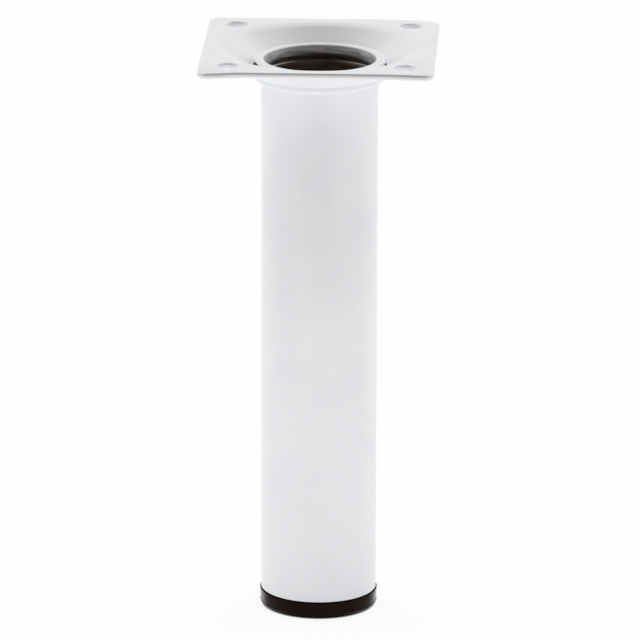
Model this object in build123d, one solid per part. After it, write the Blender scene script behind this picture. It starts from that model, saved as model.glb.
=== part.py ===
from build123d import *
import os
from math import cos, radians, sin

# A round furniture leg: a steel tube, a dished steel plate held on its top end between a folded
# bead and a rolled lip, and a plastic plug whose flange closes the lower end and stands on the floor.
# Millimetres, +Z up along the tube, origin in the middle of the foot at floor level.

# Whole leg: floor to the top face of the plate
leg_height = 150.0

# Tube
tube_diameter = 30.0
tube_wall = 1.0

# Rolled lip at the tube's top end: radius inside the roll, its straight end, and the open joint under it
lip_bend = 0.5
lip_leg = 0.6
lip_gap = 0.12

# Folded bead under the plate: reach out from the tube, radius inside the fold, hollows below and above it
bead_reach = 1.65
bead_bend = 0.15
bead_root = 0.35
neck_bend = 0.3

# Mounting plate: a pressed square sheet, its outer edge rounded a little on top and more underneath
plate_side = 60.0
plate_thickness = 1.5
plate_corner = 3.0
edge_rounding_top = 0.2
edge_rounding_under = 0.8
neck_clearance = 0.1

# Dish drawn into the plate: flat seat outside the lip, slope from level in degrees, radii of the top face
seat_margin = 0.4
dish_depth = 5.2
dish_slope = 34.0
dish_floor_bend = 1.5
dish_rim_bend = 6.0

# Screw holes at the corners of a square
screw_spacing = 45.0
screw_hole_diameter = 5.5

# Foot plug: flange, and the hollow sleeve inside the tube
flange_overhang = 0.3
flange_thickness = 4.5
flange_chamfer = 1.1
flange_rounding = 0.25
sleeve_length = 16.0
sleeve_wall = 2.0
sleeve_lead = 0.8
cup_floor = 3.0
gate_diameter = 4.0
gate_depth = 0.4

# Gripping ribs around the sleeve: height, thickness at root and tip, spacing
rib_clearance = 0.05
rib_count = 4
rib_height = 1.4
rib_root = 1.5
rib_tip = 0.6
rib_pitch = 3.4
rib_start = 1.8

# Heights and radii that follow
tube_radius = tube_diameter / 2
bore_radius = tube_radius - tube_wall
lip_radius = tube_radius + 2 * lip_bend + tube_wall
seat_z = leg_height - dish_depth
under_z = seat_z - plate_thickness
neck_radius = tube_radius + neck_bend + neck_clearance
bead_nose = tube_wall + bead_bend
bead_foot_z = under_z - 2 * bead_nose - bead_root
lip_centre_z = seat_z + lip_gap + lip_leg


def walk(x, z, heading, moves):
    """Edges of a line from (x, z) that makes straight runs and round bends in turn.

    A move is a length alone, or a radius with the angle turned, to the left when positive.
    """
    edges = []
    here = Vector(x, z)
    way = Vector(1, 0).rotate(Axis.Z, heading)
    for move in moves:
        if isinstance(move, tuple):
            radius, angle = move
            step = JernArc(here, way, radius, angle)
            way = way.rotate(Axis.Z, angle)
        else:
            step = Line(here, here + way * move)
        edges.append(step)
        here = step @ 1
    return edges


def turned(lines):
    """Solid of revolution about Z from the closed outline that the lines make beside the axis."""
    return revolve(Plane.XZ * make_face(lines), axis=Axis.Z)


def sheet(line_at, thickness):
    """Solid of revolution between a line and the line that runs parallel to it one thickness away."""
    near = line_at(0)
    far = line_at(thickness)
    ends = [Line(near[0] @ 0, far[0] @ 0), Line(near[-1] @ 1, far[-1] @ 1)]
    return turned(near + far + ends)


def tube_line(depth):
    """The tube's outer face, foot to lip, or the line that runs a depth inside it."""
    moves = [
        bead_foot_z - flange_thickness,
        (bead_root + depth, -90),
        bead_reach - bead_root - bead_nose,
        (bead_nose - depth, 180),
        bead_reach - bead_nose - neck_bend,
        (neck_bend + depth, -90),
        lip_centre_z - under_z - neck_bend,
        (lip_bend + depth, -180),
        lip_leg,
    ]
    return walk(tube_radius - depth, flange_thickness, 90, moves)


def dish_line(depth):
    """The plate's top face, neck hole to rim of the dish, or the line that runs a depth below it."""
    bends = dish_floor_bend + dish_rim_bend
    slope = radians(dish_slope)
    moves = [
        lip_radius + seat_margin - neck_radius,
        (dish_floor_bend + depth, dish_slope),
        (dish_depth - bends * (1 - cos(slope))) / sin(slope),
        (dish_rim_bend - depth, -dish_slope),
    ]
    return walk(neck_radius, seat_z - depth, 0, moves)


def mounting_plate():
    square = RectangleRounded(plate_side, plate_side, plate_corner)
    sheet_z = leg_height - plate_thickness
    blank = Pos(0, 0, sheet_z) * extrude(square, plate_thickness)
    blank = fillet(blank.faces().sort_by(Axis.Z)[-1].edges(), edge_rounding_top)
    blank = fillet(blank.faces().sort_by(Axis.Z)[0].edges(), edge_rounding_under)

    rim_radius = (dish_line(0)[-1] @ 1).X
    column = Pos(0, 0, under_z) * extrude(square, leg_height - under_z)
    dish = sheet(dish_line, plate_thickness) & column
    opening = Pos(0, 0, leg_height) * Cylinder(rim_radius, 3 * plate_thickness)
    plate = blank - opening + dish

    drill = Cylinder(screw_hole_diameter / 2, 3 * plate_thickness)
    holes = [place * drill for place in GridLocations(screw_spacing, screw_spacing, 2, 2)]
    return plate - [Pos(0, 0, leg_height) * hole for hole in holes]


def leg_tube():
    return sheet(tube_line, tube_wall)


def foot_plug():
    flange_radius = tube_radius + flange_overhang
    rib_radius = bore_radius - rib_clearance
    sleeve_radius = rib_radius - rib_height
    cup_radius = sleeve_radius - sleeve_wall
    top_z = flange_thickness + sleeve_length
    gate_radius = gate_diameter / 2
    shoulder_z = flange_thickness - flange_rounding
    outline = Polyline(
        (flange_radius - flange_rounding, flange_thickness),
        (sleeve_radius, flange_thickness),
        (sleeve_radius, top_z - sleeve_lead),
        (sleeve_radius - sleeve_lead, top_z),
        (cup_radius, top_z),
        (cup_radius, cup_floor),
        (0, cup_floor),
        (0, gate_depth),
        (gate_radius, gate_depth),
        (gate_radius, 0),
        (flange_radius - flange_chamfer, 0),
        (flange_radius, flange_chamfer),
        (flange_radius, shoulder_z),
    )
    edge = JernArc((flange_radius, shoulder_z), (0, 1), flange_rounding, 90)
    plug = turned(outline.edges() + [edge])

    for index in range(rib_count):
        rib_z = flange_thickness + rib_start + index * rib_pitch
        rib = Polyline(
            (cup_radius + sleeve_wall / 2, rib_z),
            (rib_radius, rib_z),
            (rib_radius, rib_z + rib_tip),
            (sleeve_radius, rib_z + rib_root),
            (cup_radius + sleeve_wall / 2, rib_z + rib_root),
            close=True,
        )
        plug += turned(rib.edges())
    return plug


nodes = {
    "mounting_plate": mounting_plate(),
    "leg_tube": leg_tube(),
    "foot_plug": foot_plug(),
}

os.makedirs("parts", exist_ok=True)
for name, solid in nodes.items():
    export_step(solid, f"parts/{name}.step")
    print(name, "volume", round(solid.volume, 1), "solids", len(solid.solids()))
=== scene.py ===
# %% [markdown]
# A white steel furniture leg
#
# The leg has three pieces. A square plate is pressed into a shallow dish round its middle, a thin tube is
# folded and rolled over the plate like a rivet, and a black plastic plug closes the tube's lower end. The
# frame holds them as plain solids, in metres. Here each one is built again as a finer mesh in the same
# place and to the same sizes, with the small roundings and the unevenness that the solids leave out, and
# gets the finish that the real leg has.

# %% Load the frame
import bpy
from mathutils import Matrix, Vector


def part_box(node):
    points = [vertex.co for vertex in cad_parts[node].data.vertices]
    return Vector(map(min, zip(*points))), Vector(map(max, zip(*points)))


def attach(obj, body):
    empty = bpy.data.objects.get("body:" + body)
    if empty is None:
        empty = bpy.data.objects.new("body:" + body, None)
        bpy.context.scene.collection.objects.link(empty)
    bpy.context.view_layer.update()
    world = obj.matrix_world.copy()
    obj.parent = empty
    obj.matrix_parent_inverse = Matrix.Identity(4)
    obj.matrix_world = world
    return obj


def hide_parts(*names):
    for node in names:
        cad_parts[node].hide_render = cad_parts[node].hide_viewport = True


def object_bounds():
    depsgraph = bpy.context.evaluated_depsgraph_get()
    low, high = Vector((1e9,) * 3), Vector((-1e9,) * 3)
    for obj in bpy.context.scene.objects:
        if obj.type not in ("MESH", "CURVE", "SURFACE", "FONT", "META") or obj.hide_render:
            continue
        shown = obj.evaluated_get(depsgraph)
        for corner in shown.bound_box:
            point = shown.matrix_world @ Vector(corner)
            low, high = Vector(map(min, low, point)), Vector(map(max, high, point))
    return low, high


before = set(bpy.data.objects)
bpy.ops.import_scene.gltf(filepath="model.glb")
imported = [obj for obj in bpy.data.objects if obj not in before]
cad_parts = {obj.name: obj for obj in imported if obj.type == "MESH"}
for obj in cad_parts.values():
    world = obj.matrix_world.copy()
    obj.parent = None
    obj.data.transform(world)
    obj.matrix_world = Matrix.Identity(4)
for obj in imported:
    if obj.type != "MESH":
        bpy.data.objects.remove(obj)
cad_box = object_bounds()

MM = 0.001


def in_mm(lengths):
    """Lengths in millimetres, rounded for printing."""
    return [round(length / MM, 2) for length in lengths]


print("solids:", sorted(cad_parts))
print("box of the solids in mm:", [in_mm(corner) for corner in cad_box])

# %% [markdown]
# Sizes
#
# Whatever the solids can tell is read from their boxes: heights, the radius of the lip and of the foot,
# the plate's side. What a box can't tell, such as the wall of the tube or the bend of the lip, is named
# once, where it is first needed. Everything else is worked out from these, so a piece can't drift away
# from its solid. The lip's end stands a little higher above the plate's seat than in the solid, so that
# the dark joint under it shows as it does on the real leg.

# %% Sizes, in metres
import bpy
import bmesh
import math
from mathutils import Matrix, Vector
from mathutils.geometry import delaunay_2d_cdt

plate_low, plate_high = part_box("mounting_plate")
tube_low, tube_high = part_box("leg_tube")
plug_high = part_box("foot_plug")[1]

plate_top = plate_high[2]
plate_half = plate_high[0]
plate_under = plate_low[2]
plate_thickness = 1.5 * MM
seat_height = plate_under + plate_thickness

tube_foot = tube_low[2]
tube_radius = 15 * MM
tube_wall = 1.0 * MM

lip_radius = tube_high[0]
lip_bend = 0.5 * MM
lip_leg = 0.42 * MM
lip_gap = 0.3 * MM
lip_end = seat_height + lip_gap
lip_crest = lip_end + lip_leg + lip_bend + tube_wall

flange_radius = plug_high[0]
sleeve_top = plug_high[2]
print("tube's foot, plate's seat and lip's crest in mm:", in_mm([tube_foot, seat_height, lip_crest]))

# %% [markdown]
# One class for node sums, one method for every node
#
# A node tree can be built node by node and link by link, but then a simple sum takes ten lines. Here a
# `Wire` is one output of a node, and adding or multiplying wires puts the Math nodes in, so a sum reads
# like a sum. Every other node comes from `Board.node`, which takes the node's type, then its settings,
# then the values or wires of its inputs. Geometry trees and materials both use it.

# %% Wires and boards
class Wire:
    """One output of a node. Sums that are written with it add Math nodes to its tree."""

    def __init__(self, board, socket):
        self.board = board
        self.socket = socket

    def out(self, name):
        """Another output of the same node."""
        return Wire(self.board, self.socket.node.outputs[name])

    def calculate(self, operation, first, second=0.0):
        """The result of a Math node."""
        return self.board.node("ShaderNodeMath", {"operation": operation}, {0: first, 1: second})

    def larger(self, other):
        """The larger of two values."""
        return self.calculate("MAXIMUM", self, other)

    def __add__(self, other):
        return self.calculate("ADD", self, other)

    def __sub__(self, other):
        return self.calculate("SUBTRACT", self, other)

    def __rsub__(self, other):
        return self.calculate("SUBTRACT", other, self)

    def __mul__(self, other):
        return self.calculate("MULTIPLY", self, other)

    def __truediv__(self, other):
        return self.calculate("DIVIDE", self, other)

    def __mod__(self, other):
        return self.calculate("FLOORED_MODULO", self, other)

    def __floordiv__(self, other):
        return self.calculate("FLOOR", self / other)

    __radd__ = __add__
    __rmul__ = __mul__


class Board:
    """A node tree whose nodes all come from one method."""

    def __init__(self, tree):
        self.tree = tree

    def node(self, kind, settings=None, inputs=None):
        """Add a node: settings first, then a value or a wire for each named or numbered input."""
        made = self.tree.nodes.new(kind)
        for name, value in (settings or {}).items():
            setattr(made, name, value)
        for name, value in (inputs or {}).items():
            named = [socket for socket in made.inputs if socket.enabled and socket.name == name]
            socket = named[0] if named else made.inputs[name]
            if isinstance(value, Wire):
                self.tree.links.new(value.socket, socket)
            else:
                socket.default_value = value
        ready = [socket for socket in made.outputs if socket.enabled]
        return Wire(self, ready[0]) if ready else None


print("node helpers ready")

# %% [markdown]
# Helpers for the finishes
#
# Every finish on the leg is made of the same few things: noises for the grain, smooth masks that say
# where something begins and ends, colours mixed by a mask, and a height that bends the light. A turned
# piece could be unwrapped and painted, but the seam would show. Object coordinates have no seam, and they
# give radius and height in metres, which is what decides where the coat on the real leg ends.

# %% Helpers for the finishes
def new_material(name):
    """A material with an empty tree, and the board that its nodes go on."""
    material = bpy.data.materials.new(name)
    material.use_nodes = True
    material.node_tree.nodes.clear()
    return material, Board(material.node_tree)


def object_place(board):
    """A point's Object coordinates."""
    return board.node("ShaderNodeTexCoord").out("Object")


def along(board, place, axis):
    """How far along X, Y or Z a place lies."""
    return board.node("ShaderNodeSeparateXYZ", None, {"Vector": place}).out(axis)


def from_axis(board, place):
    """How far from the leg's axis a place lies."""
    flat = board.node("ShaderNodeVectorMath", {"operation": "MULTIPLY"}, {0: place, 1: (1, 1, 0)})
    return board.node("ShaderNodeVectorMath", {"operation": "LENGTH"}, {0: flat})


def noise(board, place, scale, detail=2.0):
    """A noise of so many swells to the metre, from 0 to 1."""
    return board.node("ShaderNodeTexNoise", None, {"Vector": place, "Scale": scale, "Detail": detail})


def between(board, none, full, value):
    """A smooth mask, 0 up to one limit and 1 from the other on. It falls when the first is larger."""
    settings = {"interpolation_type": "SMOOTHSTEP"}
    return board.node("ShaderNodeMapRange", settings, {"Value": value, "From Min": none, "From Max": full})


def mix(board, mask, first, second):
    """The first colour where the mask is 0, the second where it is 1."""
    return board.node("ShaderNodeMix", {"data_type": "RGBA"}, {"Factor": mask, "A": first, "B": second})


def bump(board, strength, distance, height):
    """A normal bent by a height, which stands for a distance in metres where it is 1."""
    return board.node("ShaderNodeBump", None, {
        "Strength": strength, "Distance": distance, "Height": height})


print("finish helpers ready")

# %% [markdown]
# The powder coat
#
# The plate and the tube are steel with a white powder coat that was baked on. It is smooth and half
# glossy, very slightly cool, and close up it has the low swell that is called orange peel. A flat colour
# would look like plaster, so noises do the work: a broad one lets colour and gloss drift a little, and
# two finer ones only bend the light. Two darker marks are painted into the colour. Powder doesn't get
# into a narrow joint, so the plate's seat is bare where the rolled lip covers it, and a mask of radius
# and height paints that ring near black: bare steel, with painted shade in the joint. A grey line along
# the upper rim of the plate's front and back edge is painted shade. A mask of place can't follow that
# line where the corners hang, so the plate's mesh marks it with an attribute.

# %% White powder coat
coat_white = (0.83, 0.842, 0.862, 1)
coat_shade = (0.80, 0.813, 0.835, 1)
# A grey for the painted shade along the upper rim of the plate's front and back edge
edge_shade_grey = (0.46, 0.468, 0.48, 1)
# Near black for the joint under the lip: bare steel, darkened further as painted shade
shaded_joint_black = (0.03, 0.027, 0.025, 1)
peel_depth = 0.06 * MM

# The bare ring under the lip, painted near black as shade in the joint: where it is gone, and where it is
# full
ring_outside = (lip_radius + 0.3 * MM, lip_radius + 0.1 * MM)
ring_top = (seat_height + 0.2 * MM, seat_height + 0.05 * MM)
ring_bottom = (seat_height - 0.9 * MM, seat_height - 0.6 * MM)

powder_coat, coat = new_material("powder_coat_white")
coat_place = object_place(coat)
coat_far = from_axis(coat, coat_place)
coat_height = along(coat, coat_place, "Z")
drift = noise(coat, coat_place, scale=55)
peel = noise(coat, coat_place, scale=620, detail=1.0)
dimples = noise(coat, coat_place, scale=3600, detail=1.0)
at_seat = between(coat, *ring_top, coat_height) * between(coat, *ring_bottom, coat_height)
# The seat's ring under the lip is painted near black: bare steel and painted shade
shaded_bare_ring = between(coat, *ring_outside, coat_far) * at_seat
# The plate's mesh marks where the grey line of painted shade goes on the front and back rim
painted_edge_shade = coat.node("ShaderNodeAttribute", {"attribute_name": "edge_shade"}).out("Fac")
full_coat = mix(coat, between(coat, 0.35, 0.7, drift), coat_white, coat_shade)
coat_colour = mix(coat, painted_edge_shade, full_coat, edge_shade_grey)
coat_skin = coat.node("ShaderNodeBsdfPrincipled", None, {
    "Base Color": mix(coat, shaded_bare_ring, coat_colour, shaded_joint_black),
    "Roughness": 0.27 + 0.10 * drift + 0.6 * shaded_bare_ring,
    "Normal": bump(coat, 0.25, peel_depth, peel + 0.25 * dimples)})
coat.node("ShaderNodeOutputMaterial", None, {"Surface": coat_skin})
print("powder coat:", len(powder_coat.node_tree.nodes), "nodes")

# %% [markdown]
# Where powder got into the tube
#
# The leg was sprayed from outside after it was riveted, so only a little powder blew into the open end.
# The white stops just inside the rolled lip. Below it a grey dust lies on the neck, in streaks that the
# rolling tool left, and its whiter streaks are painted highlights. At the two sides the grey reaches
# deeper and lies on the ledge of the fold: partly dust, partly painted light where those sides are lit.
# One could paint this by hand on the mesh, but depth below the lip's crest decides nearly all of it, so
# the masks are read from the Object coordinates, and a noise breaks their edges up. The hollow under the
# lip got no powder at all, and it is painted near black as shade.

# %% Masks of the bore
# Depths below the lip's crest, each as where a mask is 0 and where it is 1
white_end = (0.50 * MM, 0.32 * MM)
# Where the whiter streaks, which are painted highlights, begin
highlight_streaks_depth = (0.6 * MM, 1.3 * MM)
dust_end = (2.9 * MM, 1.8 * MM)
# The ledge at the sides: partly dust, partly painted light
ledge_light_start = (3.6 * MM, 3.9 * MM)
ledge_light_end = (5.6 * MM, 4.2 * MM)
hollow_start = (0.4 * MM, 0.7 * MM)
hollow_inside = (tube_radius, tube_radius + 0.2 * MM)
break_up = 0.2 * MM
# How much deeper the grey reaches at the lit sides: partly dust, partly painted light
lit_side_reach = 0.7 * MM
streak_squeeze = (1, 1, 7)

bore_steel, bore = new_material("bare_bore_steel")
bore_place = object_place(bore)
bore_far = from_axis(bore, bore_place)
specks = noise(bore, bore_place, scale=700)
squeezed = bore.node("ShaderNodeVectorMath", {"operation": "MULTIPLY"}, {0: bore_place, 1: streak_squeeze})
tool_marks = noise(bore, squeezed, scale=150)
streaks = between(bore, 0.4, 0.62, tool_marks)

depth = lip_crest - along(bore, bore_place, "Z")
ragged = depth + (specks - 0.5) * break_up
# The left and right sides of the bore are lit, so more grey there is partly painted light
across = along(bore, bore_place, "X") / tube_radius
lit_sides = across * across
# The hollow inside the roll is painted near black: bare steel and painted shade
shaded_hollow = between(bore, *hollow_inside, bore_far) * between(bore, *hollow_start, depth)
painted = between(bore, *white_end, ragged) * (1 - shaded_hollow)
on_neck = between(bore, *dust_end, ragged - lit_side_reach * lit_sides)
# The ledge of the fold at the sides is lighter: partly dust, partly painted light
ledge_light = between(bore, *ledge_light_start, ragged) * between(bore, *ledge_light_end, ragged)
ledge_light = ledge_light * lit_sides * (0.45 + 0.5 * streaks)
dust_and_painted_light = on_neck.larger(ledge_light) * (1 - shaded_hollow)
# Whiter streaks in the dust are painted highlights
highlight_streaks = between(bore, *highlight_streaks_depth, ragged) * (0.15 + 0.85 * streaks)
print("masks of the bore:", len(bore_steel.node_tree.nodes), "nodes")

# %% [markdown]
# The bare inside of the tube
#
# From the fold down the steel is bare, dark and a little brown from oil. It is half metal and half oil
# film, so Metallic stays below 1, and where dust lies it goes to 0, because dust is no metal. Oil and
# tool marks change the colour and the gloss and bend the light, which a plain grey metal would not show.

# %% Bare bore
steel_dark = (0.12, 0.091, 0.071, 1)
steel_light = (0.28, 0.235, 0.20, 1)
dust_grey = (0.38, 0.38, 0.385, 1)
# A white for the painted highlights in the dust
highlight_white = (0.80, 0.795, 0.80, 1)
mark_depth = 0.05 * MM

oil = noise(bore, bore_place, scale=110, detail=3.0)
steel = mix(bore, 0.5 * oil + 0.5 * streaks, steel_dark, steel_light)
# The hollow under the lip is painted near black as shade
steel = mix(bore, shaded_hollow, steel, shaded_joint_black)
dust = mix(bore, highlight_streaks, dust_grey, highlight_white)
bore_colour = mix(bore, dust_and_painted_light, steel, dust)
bore_skin = bore.node("ShaderNodeBsdfPrincipled", None, {
    "Base Color": mix(bore, painted, bore_colour, coat_white),
    "Metallic": 0.7 - 0.7 * dust_and_painted_light,
    "Roughness": 0.26 + 0.14 * oil,
    "Normal": bump(bore, 0.25, mark_depth, oil + tool_marks + 0.4 * specks)})
bore.node("ShaderNodeOutputMaterial", None, {"Surface": bore_skin})
print("bare bore:", len(bore_steel.node_tree.nodes), "nodes")

# %% [markdown]
# The black plastic
#
# The plug is moulded from black plastic with a warm tint, satin where the mould was fine. Plain black
# would look like a hole in the picture. A fine grain bends the light, and the gloss drifts a little, as
# it does on a part that has been handled. The foot is nearly black from the front and pale where it turns
# away, so a second layer of gloss, the Coat, follows Layer Weight. On the chamfer near the floor it
# starts later.

# %% Black moulded plastic
plastic_dark = (0.0080, 0.0024, 0.0012, 1)
plastic_light = (0.0115, 0.0044, 0.0028, 1)
grain_depth = 0.03 * MM
flange_chamfer = 1.1 * MM
chamfer_edge = (flange_chamfer + 0.1 * MM, flange_chamfer - 0.2 * MM)

black_plastic, plastic = new_material("black_plastic_moulded")
plastic_place = object_place(plastic)
plastic_height = along(plastic, plastic_place, "Z")
cloud = noise(plastic, plastic_place, scale=160, detail=3.0)
grain = noise(plastic, plastic_place, scale=2600)
turned_away = plastic.node("ShaderNodeLayerWeight", None, {"Blend": 0.5}).out("Facing")
turned_away = turned_away - 0.15 * between(plastic, *chamfer_edge, plastic_height)
plastic_skin = plastic.node("ShaderNodeBsdfPrincipled", None, {
    "Base Color": mix(plastic, cloud, plastic_dark, plastic_light),
    "Roughness": 0.30 + 0.16 * cloud,
    "Specular IOR Level": 0.055,
    "Coat Weight": between(plastic, 0.5, 0.85, turned_away),
    "Coat Roughness": 0.18,
    "Normal": bump(plastic, 0.3, grain_depth, grain)})
plastic.node("ShaderNodeOutputMaterial", None, {"Surface": plastic_skin})
print("black plastic:", len(black_plastic.node_tree.nodes), "nodes")

# %% [markdown]
# A line that walks round a section
#
# A section could be a list of points, but nobody can read a bend from one. Sheet metal is drawn best as a
# walk: so far straight on, then a bend of this radius through that angle. The walk gives the points of a
# section in the half plane beside the leg's axis, with the radius to the right and the height up. Bends
# get a point every few degrees, and long runs are divided so that the faces stay handy.

# %% Walk
def walk(start, heading, moves, bend_step=10, run_step=9 * MM):
    """Points of a line of straight runs and round bends.

    A move is a length alone, or a radius with the degrees turned, to the left when positive.
    """
    points = [Vector(start)]
    way = Matrix.Rotation(math.radians(heading), 2) @ Vector((1, 0))
    for move in moves:
        here = points[-1]
        if isinstance(move, tuple):
            radius, angle = move
            steps = math.ceil(abs(angle) / bend_step)
            centre = here + Vector((-way.y, way.x)) * math.copysign(radius, angle)
            for step in range(1, steps + 1):
                turn = Matrix.Rotation(math.radians(angle * step / steps), 2)
                points.append(centre + turn @ (here - centre))
            way = Matrix.Rotation(math.radians(angle), 2) @ way
        else:
            steps = math.ceil(move / run_step)
            points += [here + way * (move * step / steps) for step in range(1, steps + 1)]
    return points


sample = walk((0, 0), 0, [1.0 * MM, (2.0 * MM, 90)])
print("a run and a bend:", len(sample), "points, end in mm at", in_mm(sample[-1]))

# %% [markdown]
# A lathe made of Geometry Nodes
#
# Tube, plug, dish and screw holes are all turned shapes, and the ribs and the holes repeat. One tree
# serves them all. It makes a grid with a row for each point of the section and a column for each step
# round the axis, reads the section's point for every row, and turns it by the column's angle. Merging
# closes the seam and the poles. The Spin tool could turn a section too, but it can't repeat it, and its
# sizes can't be changed afterwards. Points of the section that are marked as inside carry their mark with
# them to the turned mesh.

# %% Turning in the lathe
merge_distance = 1e-7


def inside_mark(board):
    """The mark of a point that belongs to the tube's inside."""
    return board.node("GeometryNodeInputNamedAttribute", {"data_type": "FLOAT"}, {"Name": "inside"})


def turned_grid(board, given):
    """A grid bent round the axis, so that each of its columns is the section at another angle."""
    section = given.out("Section")
    around = given.out("Around")
    points = board.node("GeometryNodeAttributeDomainSize", None, {"Geometry": section})
    rows = points + given.out("Closed")
    index = board.node("GeometryNodeInputIndex")
    row = (index % rows) % points
    angle = (index // rows) * (2 * math.pi) / around

    position = board.node("GeometryNodeInputPosition")
    read = {"Geometry": section, "Value": position, "Index": row}
    spot = board.node("GeometryNodeSampleIndex", {"data_type": "FLOAT_VECTOR"}, read)
    read = {"Geometry": section, "Value": inside_mark(board), "Index": row}
    mark = board.node("GeometryNodeSampleIndex", {"data_type": "FLOAT"}, read)

    grid = board.node("GeometryNodeMeshGrid", None, {"Vertices X": around + 1, "Vertices Y": rows})
    turn = {"Vector": spot, "Angle": angle}
    swung = board.node("ShaderNodeVectorRotate", {"rotation_type": "Z_AXIS"}, turn)
    bent = board.node("GeometryNodeSetPosition", None, {"Geometry": grid, "Position": swung})
    keep = {"Geometry": bent, "Name": "inside", "Value": mark}
    marked = board.node("GeometryNodeStoreNamedAttribute", {"data_type": "FLOAT", "domain": "POINT"}, keep)
    merge = {"Geometry": marked, "Distance": merge_distance}
    return board.node("GeometryNodeMergeByDistance", None, merge)


print("lathe turns a section")

# %% [markdown]
# Copies and finishes on the lathe
#
# Four screw holes and four ribs are alike, so the turned mesh is put on a block of points, one for each
# copy. Copying by hand in Python would do as well, but then a new spacing means new code, and here it is
# one input. The copies are made real, because an export drops instances, and get their finish: the coat
# all over, then the bore's finish on faces whose corners are all marked as inside.

# %% Lathe tree
all_corners = 0.75


def repeated(board, given, turned_mesh):
    """The turned mesh on a block of points, made real."""
    number = board.node("GeometryNodeInputIndex")
    columns = given.out("Columns")
    cell = board.node("ShaderNodeCombineXYZ", None, {
        "X": number % columns, "Y": number // columns, "Z": number})
    offset = board.node("ShaderNodeVectorMath", {"operation": "MULTIPLY_ADD"}, {
        0: cell, 1: given.out("Step"), 2: given.out("First")})
    count = columns * given.out("Rows")
    spots = board.node("GeometryNodePoints", None, {"Count": count, "Position": offset})
    copies = board.node("GeometryNodeInstanceOnPoints", None, {"Points": spots, "Instance": turned_mesh})
    return board.node("GeometryNodeRealizeInstances", None, {"Geometry": copies})


def coated(board, given, mesh):
    """The mesh with its coat, and with the bore's finish inside."""
    outside = board.node("GeometryNodeSetMaterial", None, {"Geometry": mesh, "Material": given.out("Coat")})
    limit = {"A": inside_mark(board), "B": all_corners}
    inside_face = board.node("FunctionNodeCompare", {"operation": "GREATER_THAN"}, limit)
    return board.node("GeometryNodeSetMaterial", None, {
        "Geometry": outside, "Selection": inside_face, "Material": given.out("Bore coat")})


def lathe_tree():
    """The tree, with the modifier's name for each of its inputs."""
    tree = bpy.data.node_groups.new("lathe", "GeometryNodeTree")
    kinds = {
        "Section": "Geometry", "Around": "Int", "Closed": "Int", "Columns": "Int", "Rows": "Int",
        "Step": "Vector", "First": "Vector", "Coat": "Material", "Bore coat": "Material"}
    names = {}
    for name, kind in kinds.items():
        socket = tree.interface.new_socket(name, in_out="INPUT", socket_type="NodeSocket" + kind)
        names[name] = socket.identifier
    tree.interface.new_socket("Turned", in_out="OUTPUT", socket_type="NodeSocketGeometry")

    board = Board(tree)
    given = board.node("NodeGroupInput")
    copies = repeated(board, given, turned_grid(board, given))
    board.node("NodeGroupOutput", None, {"Turned": coated(board, given, copies)})
    return tree, names


lathe, lathe_names = lathe_tree()
print("lathe:", len(lathe.nodes), "nodes, inputs", list(lathe_names))

# %% [markdown]
# From a section to a finished piece
#
# A section becomes a mesh of loose points, and a modifier with the lathe turns it. The modifier could
# stay on the object, but a plain mesh can still be bent, joined and measured, so the evaluated result is
# kept instead. A finished piece has its faces turned outward, is counted for open edges, rides on the leg,
# and its solid is hidden.

# %% Turn a section
def turned(name, section, around, finish, closed=False, inside=(), **copies):
    """A mesh turned on the lathe from a section, repeated where copies gives columns, rows and steps."""
    line = bpy.data.meshes.new(name)
    line.from_pydata([(point.x, 0, point.y) for point in section], [], [])
    marks = line.attributes.new("inside", "FLOAT", "POINT")
    for index in inside:
        marks.data[index].value = 1
    holder = bpy.data.objects.new(name, line)
    bpy.context.collection.objects.link(holder)
    modifier = holder.modifiers.new("lathe", "NODES")
    modifier.node_group = lathe
    single = {"Columns": 1, "Rows": 1}
    inputs = {"Around": around, "Closed": int(closed), "Coat": finish, "Bore coat": bore_steel}
    for key, value in {**single, **inputs, **copies}.items():
        modifier[lathe_names[key]] = value
    graph = bpy.context.evaluated_depsgraph_get()
    mesh = bpy.data.meshes.new_from_object(holder.evaluated_get(graph), depsgraph=graph)
    bpy.data.objects.remove(holder)
    mesh.name = name
    return mesh


def finish_piece(name, mesh, slot, *nodes):
    """An object from a closed mesh: faces outward, riding on the leg, its solids hidden."""
    closed_mesh = bmesh.new()
    closed_mesh.from_mesh(mesh)
    bmesh.ops.recalc_face_normals(closed_mesh, faces=closed_mesh.faces)
    open_edges = sum(len(edge.link_faces) != 2 for edge in closed_mesh.edges)
    volume = round(closed_mesh.calc_volume() / MM ** 3, 1)
    closed_mesh.to_mesh(mesh)
    closed_mesh.free()
    piece = bpy.data.objects.new(name, mesh)
    bpy.context.collection.objects.link(piece)
    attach(piece, "root")
    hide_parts(*nodes)
    print(name, "faces", len(mesh.polygons), "open edges", open_edges, "volume", volume, "mm3")


print("turning helpers ready")

# %% [markdown]
# The tube and its riveted end
#
# The tube's own wall holds the plate. Below the plate the wall is squeezed out into a flat folded bead,
# it passes through the hole in the plate, and its end is rolled outwards and down over the plate's seat.
# A plain cylinder with rings stuck on would show joints that the real tube doesn't have, so the section
# is one walk up the outer face, round the lip, and down the inner face, where the fold shows as a soft
# groove. The coat bridges the joint of bead and plate, so the bead's nose runs into a small hollow fillet
# there.

# %% Section of the tube
bead_reach = 1.65 * MM
bead_bend = 0.15 * MM
bead_root = 0.35 * MM
bead_nose = tube_wall + bead_bend
bead_foot = plate_under - 2 * bead_nose - bead_root
neck_bend = 0.3 * MM
cut_rounding = 0.12 * MM
cut_run = tube_wall - 2 * cut_rounding
lip_centre = lip_end + lip_leg

# The fold seen from inside: its upper edge, the slit that it leaves, and the bend back to the bore
fold_edge = plate_under + 0.75 * MM
fold_bend = 0.7 * MM
fold_reach = 0.1 * MM
fold_slit = 0.15 * MM
fold_root = 0.6 * MM
fold_low = fold_edge - fold_bend - 2 * fold_slit - fold_root

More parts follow.
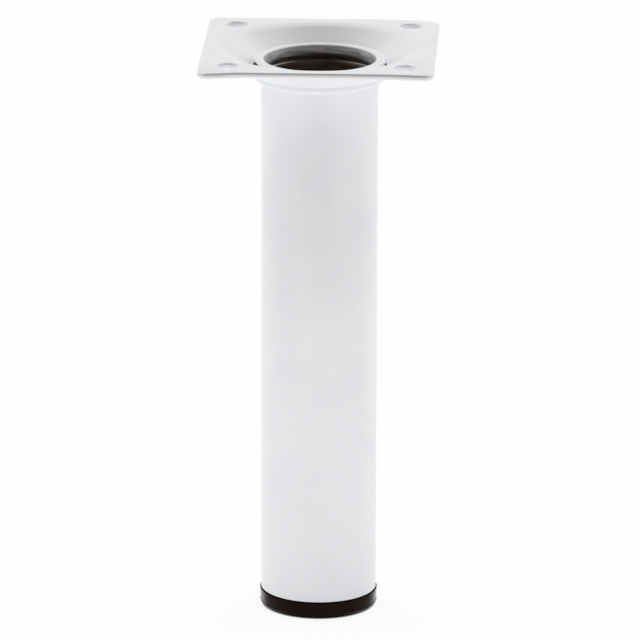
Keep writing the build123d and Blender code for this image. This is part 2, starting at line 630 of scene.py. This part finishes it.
# The coat's fillet between the bead's nose and the plate, ended some degrees before it thins to nothing
coat_fillet = 0.5 * MM
fillet_end = 10
fillet_angle = math.degrees(math.asin((bead_nose - coat_fillet) / (bead_nose + coat_fillet)))

outer_face = walk((tube_radius, tube_foot + cut_rounding), 90, [
    bead_foot - tube_foot - cut_rounding,
    (bead_root, -90), bead_reach - bead_root - bead_nose,
    (bead_nose, 90 + fillet_angle), (coat_fillet, fillet_end - 90 - fillet_angle)])
under_lip = walk((tube_radius + neck_bend, plate_under), 180, [
    (neck_bend, -90), lip_centre - plate_under - neck_bend,
    (lip_bend, -180), lip_leg - cut_rounding,
    (cut_rounding, 90)])
lip_face = walk(under_lip[-1], 0, [
    cut_run, (cut_rounding, 90),
    lip_leg - cut_rounding, (lip_bend + tube_wall, 90)])
inner_face = walk(lip_face[-1], 180, [
    (lip_bend + tube_wall, 90), lip_centre - fold_edge,
    (fold_bend, 90), fold_reach,
    (fold_slit, -180), fold_bend + fold_reach - fold_root,
    (fold_root, 90), fold_low - tube_foot - cut_rounding,
    (cut_rounding, 90), cut_run,
    (cut_rounding, 90)])
tube_section = outer_face + under_lip + lip_face[1:] + inner_face[1:-1]
closing_gap = (inner_face[-1] - outer_face[0]).length
print("section:", len(tube_section), "points, gap where it closes in mm", in_mm([closing_gap]))

# %% [markdown]
# Turning the tube and lifting its lip
#
# The walk under the lip and the walk after the lip's crest are marked as inside, so they get the bare
# steel. Rolling is never even: on the left the lip's end stands well off the seat, on the right a little.
# A section of its own for every angle would be the long way round. The tube is turned evenly, and then
# the points of the lip are raised, most at the lip's end and not at all at its crest.

# %% Tube
slit_start = len(outer_face)
slit_end = slit_start + len(under_lip)
crest_point = slit_end + len(lip_face) - 1
inside_points = [*range(slit_start, slit_end), *range(crest_point, len(tube_section))]
tube_mesh = turned("tube", tube_section, 144, powder_coat, closed=True, inside=inside_points)
tube_mesh.shade_smooth()

# Degrees from a side of the tube towards its front: where a lift begins, is full, is last full, and ends
lift_left = 1.5 * MM
span_left = (-26, -10, 14, 48)
lift_right = 0.9 * MM
span_right = (-14, 0, 8, 40)


def ease(none, full, value):
    """A smooth step, 0 up to one limit and 1 from the other on. It falls when the first is larger."""
    share = min(max((value - none) / (full - none), 0), 1)
    return share * share * (3 - 2 * share)


def lift_within(span, angle):
    """The share of a lift at an angle."""
    begins, full, last_full, ends = span
    return ease(begins, full, angle) * ease(ends, last_full, angle)


def lip_lift(x, y):
    """How far the end of the lip stands up at a place round the tube."""
    from_left = math.degrees(math.atan2(-y, -x))
    from_right = math.degrees(math.atan2(-y, x))
    return lift_left * lift_within(span_left, from_left) + lift_right * lift_within(span_right, from_right)


for vert in tube_mesh.vertices:
    x, y, z = vert.co
    outward = math.hypot(x, y) - tube_radius
    if z > seat_height and outward > 0:
        below_crest = (lip_crest - z) / (lip_crest - lip_end)
        vert.co.z += lip_lift(x, y) * below_crest * ease(0, 2 * lip_bend, outward)
finish_piece("tube", tube_mesh, "powder_coat", "leg_tube")

# %% [markdown]
# The dish and the screw holes
#
# The plate is one sheet with the same thickness everywhere. Its middle was drawn down into a dish with a
# flat seat for the lip, and four punched holes take the screws. A punch rounds the rim where it enters,
# and the hole spreads a little below. Dish and holes come from the lathe. A Boolean could drill the
# holes, but turned rims keep every edge round and in its place.

# %% Dish and screw holes
dish_depth = plate_top - seat_height
dish_slope = 34
dish_floor_bend = 1.5 * MM
dish_rim_bend = 6.0 * MM
seat_margin = 0.4 * MM
neck_clearance = 0.1 * MM
neck_edge = 0.4 * MM
soft_edge = 0.15 * MM
screw_spacing = 45 * MM
screw_hole = 2.75 * MM
hole_edge_top = 0.55 * MM
hole_spread = 12

slope = math.radians(dish_slope)
dish_bends = dish_floor_bend + dish_rim_bend
slope_run = (dish_depth - dish_bends * (1 - math.cos(slope))) / math.sin(slope)
neck_radius = tube_radius + neck_bend + neck_clearance
seat_run = lip_radius + seat_margin - neck_radius
rim_radius = lip_radius + seat_margin + dish_bends * math.sin(slope) + slope_run * math.cos(slope)

dish_section = walk((rim_radius, plate_top), 180, [
    (dish_rim_bend, dish_slope), slope_run, (dish_floor_bend, -dish_slope), seat_run - neck_edge,
    (neck_edge, 90), plate_thickness - neck_edge - soft_edge, (soft_edge, 90),
    seat_run - soft_edge, (dish_floor_bend + plate_thickness, dish_slope), slope_run,
    (dish_rim_bend - plate_thickness, -dish_slope)], bend_step=4)
dish_mesh = turned("dish", dish_section, 160, powder_coat)

spread = math.radians(hole_spread)
hole_bends = hole_edge_top * (1 + math.sin(spread)) + soft_edge * (1 - math.sin(spread))
hole_section = walk((screw_hole + hole_edge_top, plate_top), 180, [
    (hole_edge_top, 90 + hole_spread), (plate_thickness - hole_bends) / math.cos(spread),
    (soft_edge, 90 - hole_spread)], bend_step=15)
first_screw = -screw_spacing / 2
hole_mesh = turned("screw_holes", hole_section, 48, powder_coat, Columns=2, Rows=2,
                   Step=(screw_spacing, screw_spacing, 0), First=(first_screw, first_screw, 0))
print("dish:", len(dish_mesh.polygons), "faces, rim radius in mm", in_mm([rim_radius]))
print("screw holes:", len(hole_mesh.polygons), "faces")

# %% [markdown]
# The outer edge
#
# The plate was cut from sheet, which leaves its edge fairly crisp on top and rounder below. A Bevel
# modifier rounds both sides alike. Here the edge is a short walk too, and it follows a square with round
# corners as loops of points that move out and sink together.

# %% Outer edge
outer_edge_top = 0.6 * MM
outer_edge_under = 0.8 * MM
plate_corner = 3.0 * MM
corner_arm = plate_half - plate_corner


def square_loop(offset, level, per_corner=12, per_side=30):
    """Points round a square with round corners, moved out by an offset."""
    spots = []
    for quarter in range(4):
        turn = Matrix.Rotation(math.radians(90 * quarter), 2)
        radius = plate_corner + offset
        for step in range(per_corner + 1):
            angle = math.radians(90 * step / per_corner)
            spot = Vector((corner_arm + radius * math.cos(angle), corner_arm + radius * math.sin(angle)))
            spots.append(turn @ spot)
        start = spots[-1]
        end = turn @ Vector((-corner_arm, plate_half + offset))
        spots += [start.lerp(end, step / per_side) for step in range(1, per_side)]
    return [Vector((spot.x, spot.y, level)) for spot in spots]


def join_loops(shell, loops):
    """Faces between loops of points that lie one after another."""
    rings = [[shell.verts.new(point) for point in loop] for loop in loops]
    for ring, following in zip(rings, rings[1:]):
        for index in range(len(ring)):
            shell.faces.new((ring[index - 1], ring[index], following[index], following[index - 1]))


edge_section = walk((-outer_edge_top, plate_top), 0, [
    (outer_edge_top, -90), plate_thickness - outer_edge_top - outer_edge_under,
    (outer_edge_under, -90)], bend_step=12)
plate_shell = bmesh.new()
plate_shell.from_mesh(dish_mesh)
plate_shell.from_mesh(hole_mesh)
join_loops(plate_shell, [square_loop(point.x, point.y) for point in edge_section])
print("plate without its flat faces:", len(plate_shell.faces), "faces")

# %% [markdown]
# The flat faces
#
# The plate's top and underside have six outlines each: the outer edge, the dish and four holes. A plain
# fill would join them by long thin triangles, which shade badly once the sheet is no longer dead flat. A
# Delaunay net over the outlines and a grid of points between them has even triangles.

# %% Flat faces
grid_step = 1.4 * MM
grid_room = 0.5 * grid_step
least_room = 0.001 * MM
same_level = 1e-7
same_spot = 1e-5
screws = [Vector((x, y)) * screw_spacing / 2 for x in (-1, 1) for y in (-1, 1)]


def clearance(spot, edge, hole_edge):
    """How far a point of the flat sheet is from the nearest outline, negative when it is off the sheet."""
    out = Vector((max(abs(spot.x) - corner_arm, 0), max(abs(spot.y) - corner_arm, 0)))
    gaps = [(spot - screw).length - screw_hole - hole_edge for screw in screws]
    return min(spot.length - rim_radius, plate_corner - edge - out.length, *gaps)


def flat_face(shell, level, edge, hole_edge):
    """Close the sheet at a level with a net of even triangles. The net is worked out in millimetres."""
    shell.verts.index_update()
    rim = [line for line in shell.edges if line.is_boundary
           and all(abs(vert.co.z - level) < same_level for vert in line.verts)]
    verts = sorted({vert for line in rim for vert in line.verts}, key=lambda vert: vert.index)
    number = {vert: index for index, vert in enumerate(verts)}
    count = round(plate_half / grid_step)
    steps = [step * grid_step for step in range(-count, count + 1)]
    grid = [Vector((x, y)) for x in steps for y in steps]
    inner = [spot for spot in grid if clearance(spot, edge, hole_edge) > grid_room]
    spots = [vert.co.xy / MM for vert in verts] + [spot / MM for spot in inner]
    lines = [tuple(number[vert] for vert in line.verts) for line in rim]
    net_spots, _, triangles, sources, _, _ = delaunay_2d_cdt(spots, lines, [], 0, same_spot)
    verts += [shell.verts.new((spot.x, spot.y, level)) for spot in inner]
    area = 0
    for triangle in triangles:
        middle = sum((net_spots[index] for index in triangle), Vector((0, 0))) / 3 * MM
        if clearance(middle, edge, hole_edge) > least_room:
            face = shell.faces.new([verts[sources[index][0]] for index in triangle])
            area += face.calc_area() / MM ** 2
    print("flat face:", len(rim), "rim edges,", round(area, 1), "mm2")


flat_face(plate_shell, plate_top, outer_edge_top, hole_section[0].x - screw_hole)
flat_face(plate_shell, plate_top - plate_thickness, outer_edge_under, hole_section[-1].x - screw_hole)

# %% [markdown]
# Hanging corners and a line of painted shade
#
# A pressed plate isn't flat to the last tenth: its corners hang a little, one more than the other. A bend
# modifier would move the dish too, so every point sinks by its own distance from the middle, and only
# near a corner. The same loop marks the upper rim of the front and the back edge for painted shade.

# %% Plate
corner_sag = {(-1, -1): 0.50 * MM, (1, -1): 0.25 * MM, (-1, 1): 0.08 * MM, (1, 1): 0.45 * MM}
sag_starts = 1.6
sag_full = 2.0
edge_shade_from = 0.003 * MM
edge_shade_to = 0.2 * MM

edge_shade_layer = plate_shell.verts.layers.float.new("edge_shade")
for vert in plate_shell.verts:
    x, y, z = vert.co
    # The upper rim of the front and back edge is marked for a grey line of painted shade
    in_edge_shade = abs(y) > plate_half - outer_edge_top and edge_shade_from < plate_top - z < edge_shade_to
    vert[edge_shade_layer] = 1.0 if in_edge_shade else 0.0
    quarter = (1 if x > 0 else -1, 1 if y > 0 else -1)
    vert.co.z = z - corner_sag[quarter] * ease(sag_starts, sag_full, (abs(x) + abs(y)) / plate_half)

plate_mesh = bpy.data.meshes.new("plate")
plate_shell.to_mesh(plate_mesh)
plate_shell.free()
plate_mesh.materials.append(powder_coat)
plate_mesh.shade_smooth()
finish_piece("plate", plate_mesh, "powder_coat", "mounting_plate")

# %% [markdown]
# The foot plug
#
# The plug is a flange that the tube stands on and a hollow sleeve inside it, with ribs that grip the
# bore. It is moulded, so most of its corners are a little round, and a corner is easier to name than a
# bend. The section therefore goes through corners, each with its rounding, from the middle of the base to
# the middle of the cup. A Bevel modifier would round every edge alike, the sharp rim of the gate mark
# too.

# %% Plug
flange_rounding = 0.25 * MM
plug_rounding = 0.15 * MM
rib_clearance = 0.05 * MM
rib_height = 1.4 * MM
rib_radius = tube_radius - tube_wall - rib_clearance
sleeve_radius = rib_radius - rib_height
sleeve_wall = 2.0 * MM
sleeve_lead = 0.8 * MM
cup_radius = sleeve_radius - sleeve_wall
cup_floor = 3.0 * MM
cup_rounding = 0.4 * MM
gate_radius = 2.0 * MM
gate_depth = 0.4 * MM


def corner_points(*corners, arc_steps=4):
    """Points through corners (r, z, rounding): a corner with a rounding becomes a short arc."""
    points = []
    for index, (r, z, rounding) in enumerate(corners):
        here = Vector((r, z))
        if not rounding:
            points.append(here)
            continue
        before = (Vector(corners[index - 1][:2]) - here).normalized()
        after = (Vector(corners[index + 1][:2]) - here).normalized()
        half = before.angle(after) / 2
        start = here + before * (rounding / math.tan(half))
        centre = here + (before + after).normalized() * (rounding / math.sin(half))
        sweep = math.copysign(math.pi - 2 * half, before.x * after.y - before.y * after.x)
        for step in range(arc_steps + 1):
            turn = Matrix.Rotation(sweep * step / arc_steps, 2)
            points.append(centre + turn @ (start - centre))
    return points


plug_section = corner_points(
    (0, gate_depth, 0), (gate_radius, gate_depth, 0), (gate_radius, 0, 0),
    (flange_radius - flange_chamfer, 0, plug_rounding),
    (flange_radius, flange_chamfer, plug_rounding),
    (flange_radius, tube_foot, flange_rounding),
    (sleeve_radius, tube_foot, 0),
    (sleeve_radius, sleeve_top - sleeve_lead, plug_rounding),
    (sleeve_radius - sleeve_lead, sleeve_top, plug_rounding),
    (cup_radius, sleeve_top, plug_rounding),
    (cup_radius, cup_floor, cup_rounding),
    (0, cup_floor, 0))
plug_mesh = turned("plug", plug_section, 128, black_plastic)
plug_mesh.shade_smooth()
plug_mesh.set_sharp_from_angle(angle=math.radians(50))
finish_piece("plug", plug_mesh, "black_plastic", "foot_plug")

# %% [markdown]
# The ribs
#
# Four thin ribs round the sleeve are squeezed into the tube and keep the plug there. They are alike and
# evenly spaced, so they could be part of the plug's section, but one small section that the lathe repeats
# up the sleeve says so more plainly. Each rib reaches half way into the sleeve's wall, so no gap shows at
# its root.

# %% Ribs
rib_count = 4
rib_pitch = 3.4 * MM
rib_start = tube_foot + 1.8 * MM
rib_root = 1.5 * MM
rib_tip = 0.6 * MM
rib_inner = sleeve_radius - sleeve_wall / 2

rib_section = corner_points(
    (rib_inner, 0, 0), (rib_radius, 0, 0), (rib_radius, rib_tip, 0),
    (sleeve_radius, rib_root, 0), (rib_inner, rib_root, 0))
rib_mesh = turned("plug_ribs", rib_section, 96, black_plastic, closed=True, Rows=rib_count,
                  Step=(0, 0, rib_pitch), First=(0, 0, rib_start))
rib_mesh.shade_smooth()
rib_mesh.set_sharp_from_angle(angle=math.radians(30))
finish_piece("plug_ribs", rib_mesh, "black_plastic", "foot_plug")

# %% [markdown]
# The floor
#
# The photograph is a catalogue picture, white all round. A white floor under strong lamps would throw so
# much light up that the leg burns out. This floor is a pale sheet for the light, and for the camera and
# for reflections it is mostly a white glow, with a trace of the leg's own shadow. Under the foot it
# doesn't glow, so that no white line shows between the foot and the floor.

# %% White floor
floor_half = 8.0
floor_pale = (0.9, 0.9, 0.9, 1)
floor_glow = 0.9
glow_start = (flange_radius - 0.8 * MM, flange_radius)

bpy.context.scene.view_settings.view_transform = "Standard"
floor_mesh = bpy.data.meshes.new("floor")
floor_corners = [(-1, -1), (1, -1), (1, 1), (-1, 1)]
floor_mesh.from_pydata([(x * floor_half, y * floor_half, 0) for x, y in floor_corners], [], [(0, 1, 2, 3)])
floor = bpy.data.objects.new("floor", floor_mesh)
bpy.context.collection.objects.link(floor)

pale_floor, ground = new_material("pale_floor")
ground_far = from_axis(ground, object_place(ground))
ray = ground.node("ShaderNodeLightPath")
seen = ray.out("Is Camera Ray").larger(ray.out("Is Glossy Ray")).larger(ray.out("Is Transmission Ray"))
shines = floor_glow * seen * between(ground, *glow_start, ground_far)
pale_sheet = ground.node("ShaderNodeBsdfDiffuse", None, {"Color": floor_pale})
white_glow = ground.node("ShaderNodeEmission", None, {"Color": (1, 1, 1, 1), "Strength": 1.0})
both = ground.node("ShaderNodeMixShader", None, {0: shines, 1: pale_sheet, 2: white_glow})
ground.node("ShaderNodeOutputMaterial", None, {"Surface": both})
floor_mesh.materials.append(pale_floor)
print("floor:", [round(value, 2) for value in floor.dimensions], "m")

# %% [markdown]
# The light
#
# White metal shows its form only where the light differs. The leg stands in an even white room with a
# dark hood over the front, which is why the dish's far slope and the front of the tube are its greyest
# parts, and the room is a little dimmer low at the back. Six lamps add to that: one at each side, one on
# each side high behind, which light the plate, a low strip in front for the lower end of the tube, and
# one that lights the floor before the leg. A ring of lamps alone would leave hard streaks in the gloss.
# The world gives soft light by direction, and the lamps only shift it.

# %% Soft light
hood_dims = 0.92
rear_dims = 0.18

world = bpy.data.worlds.new("studio")
bpy.context.scene.world = world
world.use_nodes = True
world.node_tree.nodes.clear()
studio = Board(world.node_tree)
direction = studio.node("ShaderNodeTexCoord").out("Generated")
toward = studio.node("ShaderNodeSeparateXYZ", None, {"Vector": direction})
hood = between(studio, 0.4, -0.4, toward.out("Y")) * between(studio, 0.04, 0.2, toward.out("Z"))
rear = between(studio, 0.2, 0.8, toward.out("Y")) * between(studio, 0.5, 0.15, toward.out("Z"))
room_light = 1.0 - hood_dims * hood - rear_dims * rear
sky = studio.node("ShaderNodeBackground", None, {"Color": (1, 1, 1, 1), "Strength": room_light})
studio.node("ShaderNodeOutputWorld", None, {"Surface": sky})
print("studio:", len(world.node_tree.nodes), "nodes")


def softbox(name, spot, aim, width, height, glow):
    """A rectangular lamp of an even glow, turned towards a point."""
    lamp = bpy.data.lights.new(name, "AREA")
    lamp.shape = "RECTANGLE"
    lamp.size = width
    lamp.size_y = height
    lamp.energy = glow * math.pi * width * height
    box = bpy.data.objects.new(name, lamp)
    box.location = spot
    box.rotation_euler = (Vector(aim) - Vector(spot)).to_track_quat("-Z", "Y").to_euler()
    box.visible_camera = False
    bpy.context.collection.objects.link(box)


leg_middle = (0, 0, plate_top / 2)
softbox("left_box", (-0.9, 0.0, 0.35), leg_middle, width=0.5, height=0.8, glow=1.1)
softbox("right_box", (0.9, 0.0, 0.35), leg_middle, width=0.5, height=0.8, glow=0.9)
softbox("left_high_box", (-0.48, 0.56, 0.86), leg_middle, width=0.8, height=0.8, glow=1.38)
softbox("right_high_box", (0.48, 0.56, 0.86), leg_middle, width=0.8, height=0.8, glow=1.42)
softbox("front_strip", (0, -0.21, 0.022), (0, 0, 0.018), width=1.0, height=0.044, glow=1.95)
softbox("front_floor", (0, -0.32, 0.1), (0, -0.32, 0), width=1.6, height=0.5, glow=0.28)

# %% [markdown]
# The camera
#
# The photograph was taken from the front, a little from the right, looking down at about sixteen degrees.
# A near camera would spread the plate and narrow the foot, and the photograph shows an even tube, so a
# long lens stands well back. It is rolled by a trace, because the leg leans that much in the photograph.

# %% Camera
camera_spot = (0.0693, -1.6118, 0.5455)
camera_aim = (0.0002, 0, 0.0768)
camera_roll = math.radians(0.17)

camera_data = bpy.data.cameras.new("camera")
camera_data.lens = 364.2
camera_data.sensor_width = 36
camera_data.clip_start = 0.01
camera = bpy.data.objects.new("camera", camera_data)
camera.location = camera_spot
look = (Vector(camera_aim) - Vector(camera_spot)).to_track_quat("-Z", "Y")
camera.rotation_euler = (look.to_matrix() @ Matrix.Rotation(camera_roll, 3, "Z")).to_euler()
bpy.context.collection.objects.link(camera)
bpy.context.scene.camera = camera
print("camera", [round(value, 3) for value in camera.location], "lens", round(camera_data.lens, 1), "mm")
